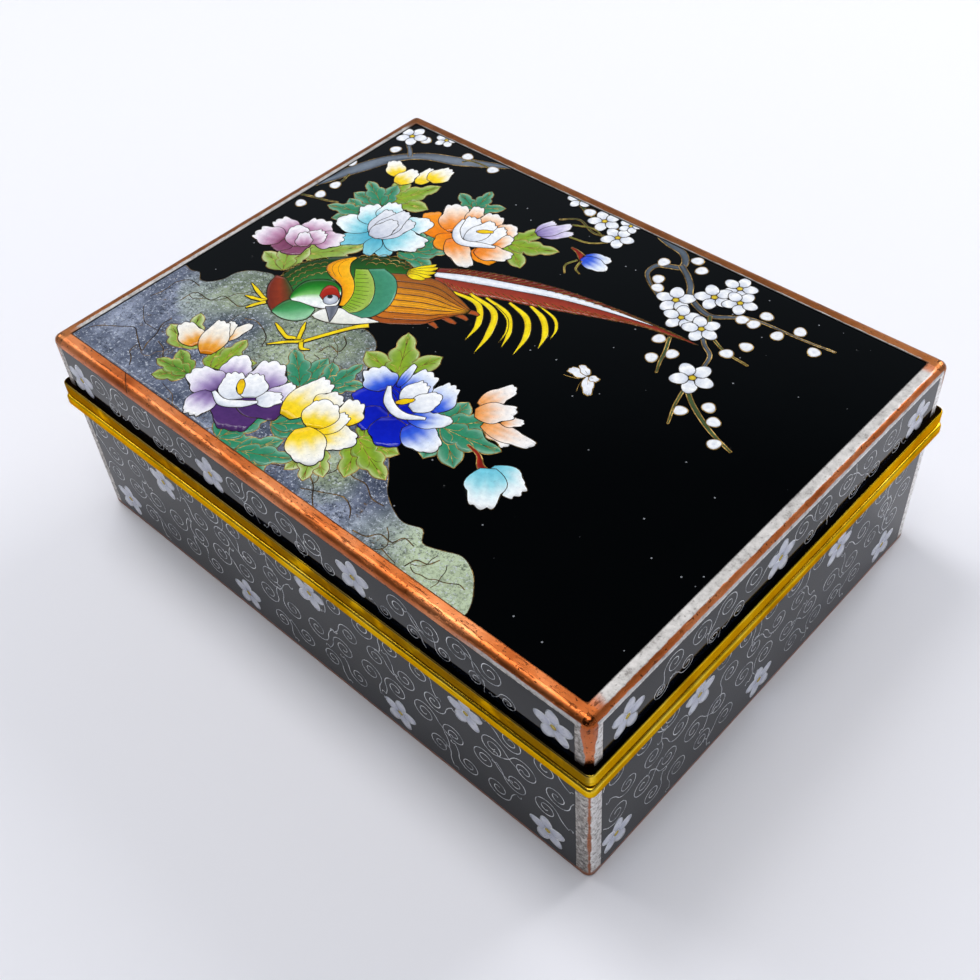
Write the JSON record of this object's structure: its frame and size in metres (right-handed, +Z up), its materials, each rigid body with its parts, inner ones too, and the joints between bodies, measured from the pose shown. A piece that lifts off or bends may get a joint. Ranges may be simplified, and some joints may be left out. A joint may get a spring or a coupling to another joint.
{
  "type": "cloisonne enamel box",
  "caption": "Rectangular trinket box: copper base and lift-off lid with inlaid enamel panels, each closed by a brass rim.",
  "frame": {"origin": "centre of the underside, on the surface that the box stands on", "axes": "+X along the long side, +Y along the short side, +Z up"},
  "size_m": [0.1296, 0.0966, 0.0439],
  "materials": {
    "copper": "polished copper with worn silver plating",
    "brass": "polished brass",
    "black_enamel": "polished black cloisonne enamel with silver wires",
    "picture_enamel": "polished cloisonne enamel, a bird and flowers in many colours on black"
  },
  "bodies": {
    "root": {"base_shell": "copper", "base_enamel_front": "black_enamel", "base_enamel_right": "black_enamel", "base_enamel_back": "black_enamel", "base_enamel_left": "black_enamel", "base_enamel_underside": "black_enamel", "base_enamel_lining": "black_enamel", "base_rim": "brass", "lid_rim": "brass", "lid_shell": "copper", "lid_enamel_front": "black_enamel", "lid_enamel_right": "black_enamel", "lid_enamel_back": "black_enamel", "lid_enamel_left": "black_enamel", "lid_enamel_top": "picture_enamel", "lid_enamel_lining": "black_enamel"}
  },
  "joints": []
}
